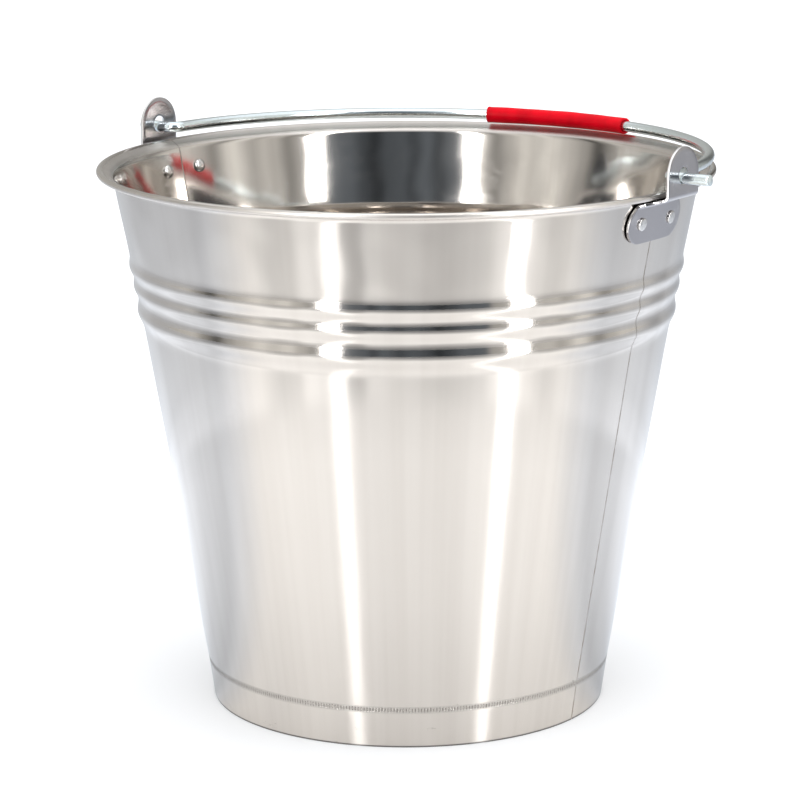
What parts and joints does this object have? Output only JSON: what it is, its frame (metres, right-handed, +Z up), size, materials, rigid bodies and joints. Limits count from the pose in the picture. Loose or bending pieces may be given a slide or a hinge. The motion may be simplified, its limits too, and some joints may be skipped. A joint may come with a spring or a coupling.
{
  "type": "milk pail",
  "caption": "Tapered stainless pail with rolled ribs, flared curled rim, riveted ears and a swinging wire bail with a sleeve grip.",
  "frame": {"origin": "middle of the foot circle, on the surface that the pail stands on", "axes": "+Z up along the pail's axis; +X through the ears towards the longer wire tail; the folded-back bail lies towards +Y"},
  "size_m": [0.3346, 0.3, 0.2857],
  "materials": {
    "polished_steel": "bright mirror-rolled stainless sheet with faint drawing lines",
    "seam_weld": "planished weld bead, slightly duller than the sheet",
    "pan_steel": "pressed stainless sheet, satin",
    "ear_steel": "stamped stainless sheet, satin grey",
    "rivet_steel": "bright headed rivets",
    "zinc_wire": "bright zinc plate with a cool tint",
    "grip_plastic": "glossy soft plastic sleeve"
  },
  "bodies": {
    "pail": {"front_body_panel": "polished_steel", "rear_body_panel": "polished_steel", "right_seam_weld": "seam_weld", "left_seam_weld": "seam_weld", "base_pan": "pan_steel", "right_ear": "ear_steel", "left_ear": "ear_steel", "right_front_rivet": "rivet_steel", "right_rear_rivet": "rivet_steel", "left_front_rivet": "rivet_steel", "left_rear_rivet": "rivet_steel"},
    "bail": {"bail": "zinc_wire", "grip": "grip_plastic"}
  },
  "joints": [
    {"name": "bail_swing", "type": "hinge", "parent": "pail", "child": "bail", "pos_m": [0, 0, 0.2711], "axis": [1, 0, 0], "range_deg": [0, 181.2]}
  ]
}
